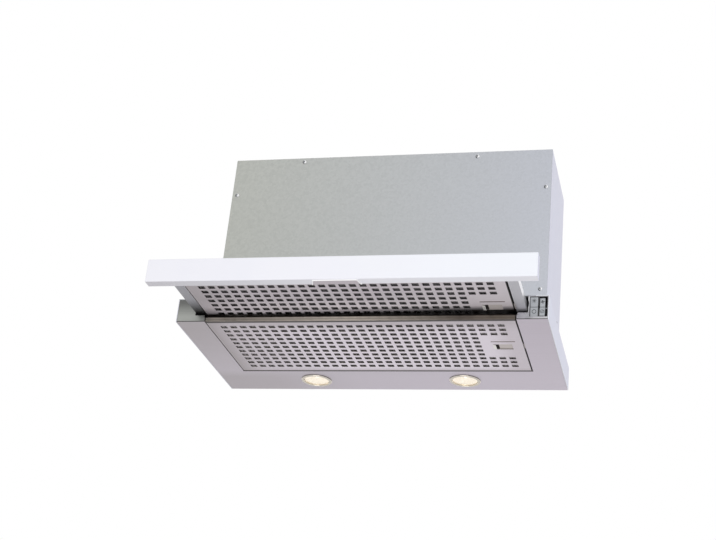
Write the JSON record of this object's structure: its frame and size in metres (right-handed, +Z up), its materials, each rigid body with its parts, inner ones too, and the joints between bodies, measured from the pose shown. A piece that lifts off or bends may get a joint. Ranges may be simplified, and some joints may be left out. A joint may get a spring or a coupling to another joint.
{
  "type": "pull out range hood",
  "caption": "Slim cooker hood for a wall cabinet: shallow base with lamps, rocker switches and a perforated grease filter, a pull-out filter visor, and a tall blower box with a top duct collar.",
  "frame": {"origin": "middle of the back face, level with the top of the base (the underside of the kitchen cabinet)", "axes": "+X right as the cook sees it, +Y into the wall, +Z up"},
  "size_m": [0.598, 0.437, 0.3909],
  "materials": {
    "white_paint": "smooth white paint",
    "galvanised": "matt galvanised sheet with fine spangle",
    "stainless": "satin, brushed across",
    "aluminium": "satin",
    "dark_steel": "dull",
    "grey_plastic": "light grey, moulded",
    "black_plastic": "black, moulded",
    "bright_metal": "polished",
    "lamp_glass": "clear, lit from behind"
  },
  "bodies": {
    "housing": {"side_panel_left": "white_paint", "side_panel_right": "white_paint", "box_front_panel": "galvanised", "box_back_panel": "galvanised", "box_top_panel": "galvanised", "base_deck": "galvanised", "bottom_panel": "stainless", "slide_guide_left": "dark_steel", "slide_guide_right": "dark_steel", "switch_housing": "black_plastic", "lamp_housing_left": "bright_metal", "lamp_glass_left": "lamp_glass", "lamp_reflector_left": "bright_metal", "lamp_housing_right": "bright_metal", "lamp_glass_right": "lamp_glass", "lamp_reflector_right": "bright_metal", "scroll_wall": "galvanised", "scroll_side_left": "galvanised", "scroll_side_right": "galvanised", "motor": "black_plastic", "motor_plate": "dark_steel", "outlet_collar": "galvanised", "damper_bar": "grey_plastic", "cable_gland": "black_plastic", "terminal_box": "black_plastic", "capacitor": "grey_plastic"},
    "visor": {"visor_panel": "white_paint", "visor_front_bar": "stainless", "visor_rear_bar": "stainless", "visor_top_plate": "stainless", "visor_rail_left": "stainless", "visor_rail_right": "stainless", "visor_filter_grille": "aluminium", "visor_filter_mesh": "aluminium", "visor_filter_frame": "aluminium", "visor_latch_guide": "grey_plastic"},
    "visor_latch": {"visor_latch": "grey_plastic"},
    "base_filter": {"base_filter_grille": "aluminium", "base_filter_mesh": "aluminium", "base_filter_frame": "aluminium", "base_latch_guide": "grey_plastic"},
    "base_latch": {"base_latch": "grey_plastic"},
    "light_rocker": {"light_rocker": "grey_plastic"},
    "fan_rocker": {"fan_rocker": "grey_plastic"},
    "impeller": {"impeller": "galvanised", "motor_shaft": "bright_metal"},
    "damper_front": {"damper_front": "grey_plastic"},
    "damper_rear": {"damper_rear": "grey_plastic"}
  },
  "joints": [
    {"name": "visor_slide", "type": "slide", "parent": "housing", "child": "visor", "axis": [0, 1, 0], "range_m": [0, 0.1235]},
    {"name": "visor_latch_slide", "type": "slide", "parent": "visor", "child": "visor_latch", "axis": [-1, 0, 0], "range_m": [0, 0.005], "stiffness_N_per_m": 200},
    {"name": "filter_drop", "type": "hinge", "parent": "housing", "child": "base_filter", "pos_m": [-0.2486, -0.2, -0.04], "axis": [0, 1, 0], "range_deg": [0, 80]},
    {"name": "base_latch_slide", "type": "slide", "parent": "base_filter", "child": "base_latch", "axis": [-1, 0, 0], "range_m": [0, 0.005], "stiffness_N_per_m": 200},
    {"name": "light_switch", "type": "hinge", "parent": "housing", "child": "light_rocker", "pos_m": [0, -0.29, -0.0189], "axis": [1, 0, 0], "range_deg": [-12, 0]},
    {"name": "fan_switch", "type": "hinge", "parent": "housing", "child": "fan_rocker", "pos_m": [0, -0.29, -0.0195], "axis": [1, 0, 0], "range_deg": [0, 12]},
    {"name": "fan_spin", "type": "hinge", "parent": "housing", "child": "impeller", "pos_m": [0, -0.0995, 0.174], "axis": [1, 0, 0], "continuous": true},
    {"name": "front_flap", "type": "hinge", "parent": "housing", "child": "damper_front", "pos_m": [0, -0.0738, 0.33], "axis": [-1, 0, 0], "range_deg": [0, 80]},
    {"name": "rear_flap", "type": "hinge", "parent": "housing", "child": "damper_rear", "pos_m": [0, -0.0682, 0.33], "axis": [1, 0, 0], "range_deg": [0, 80]}
  ]
}
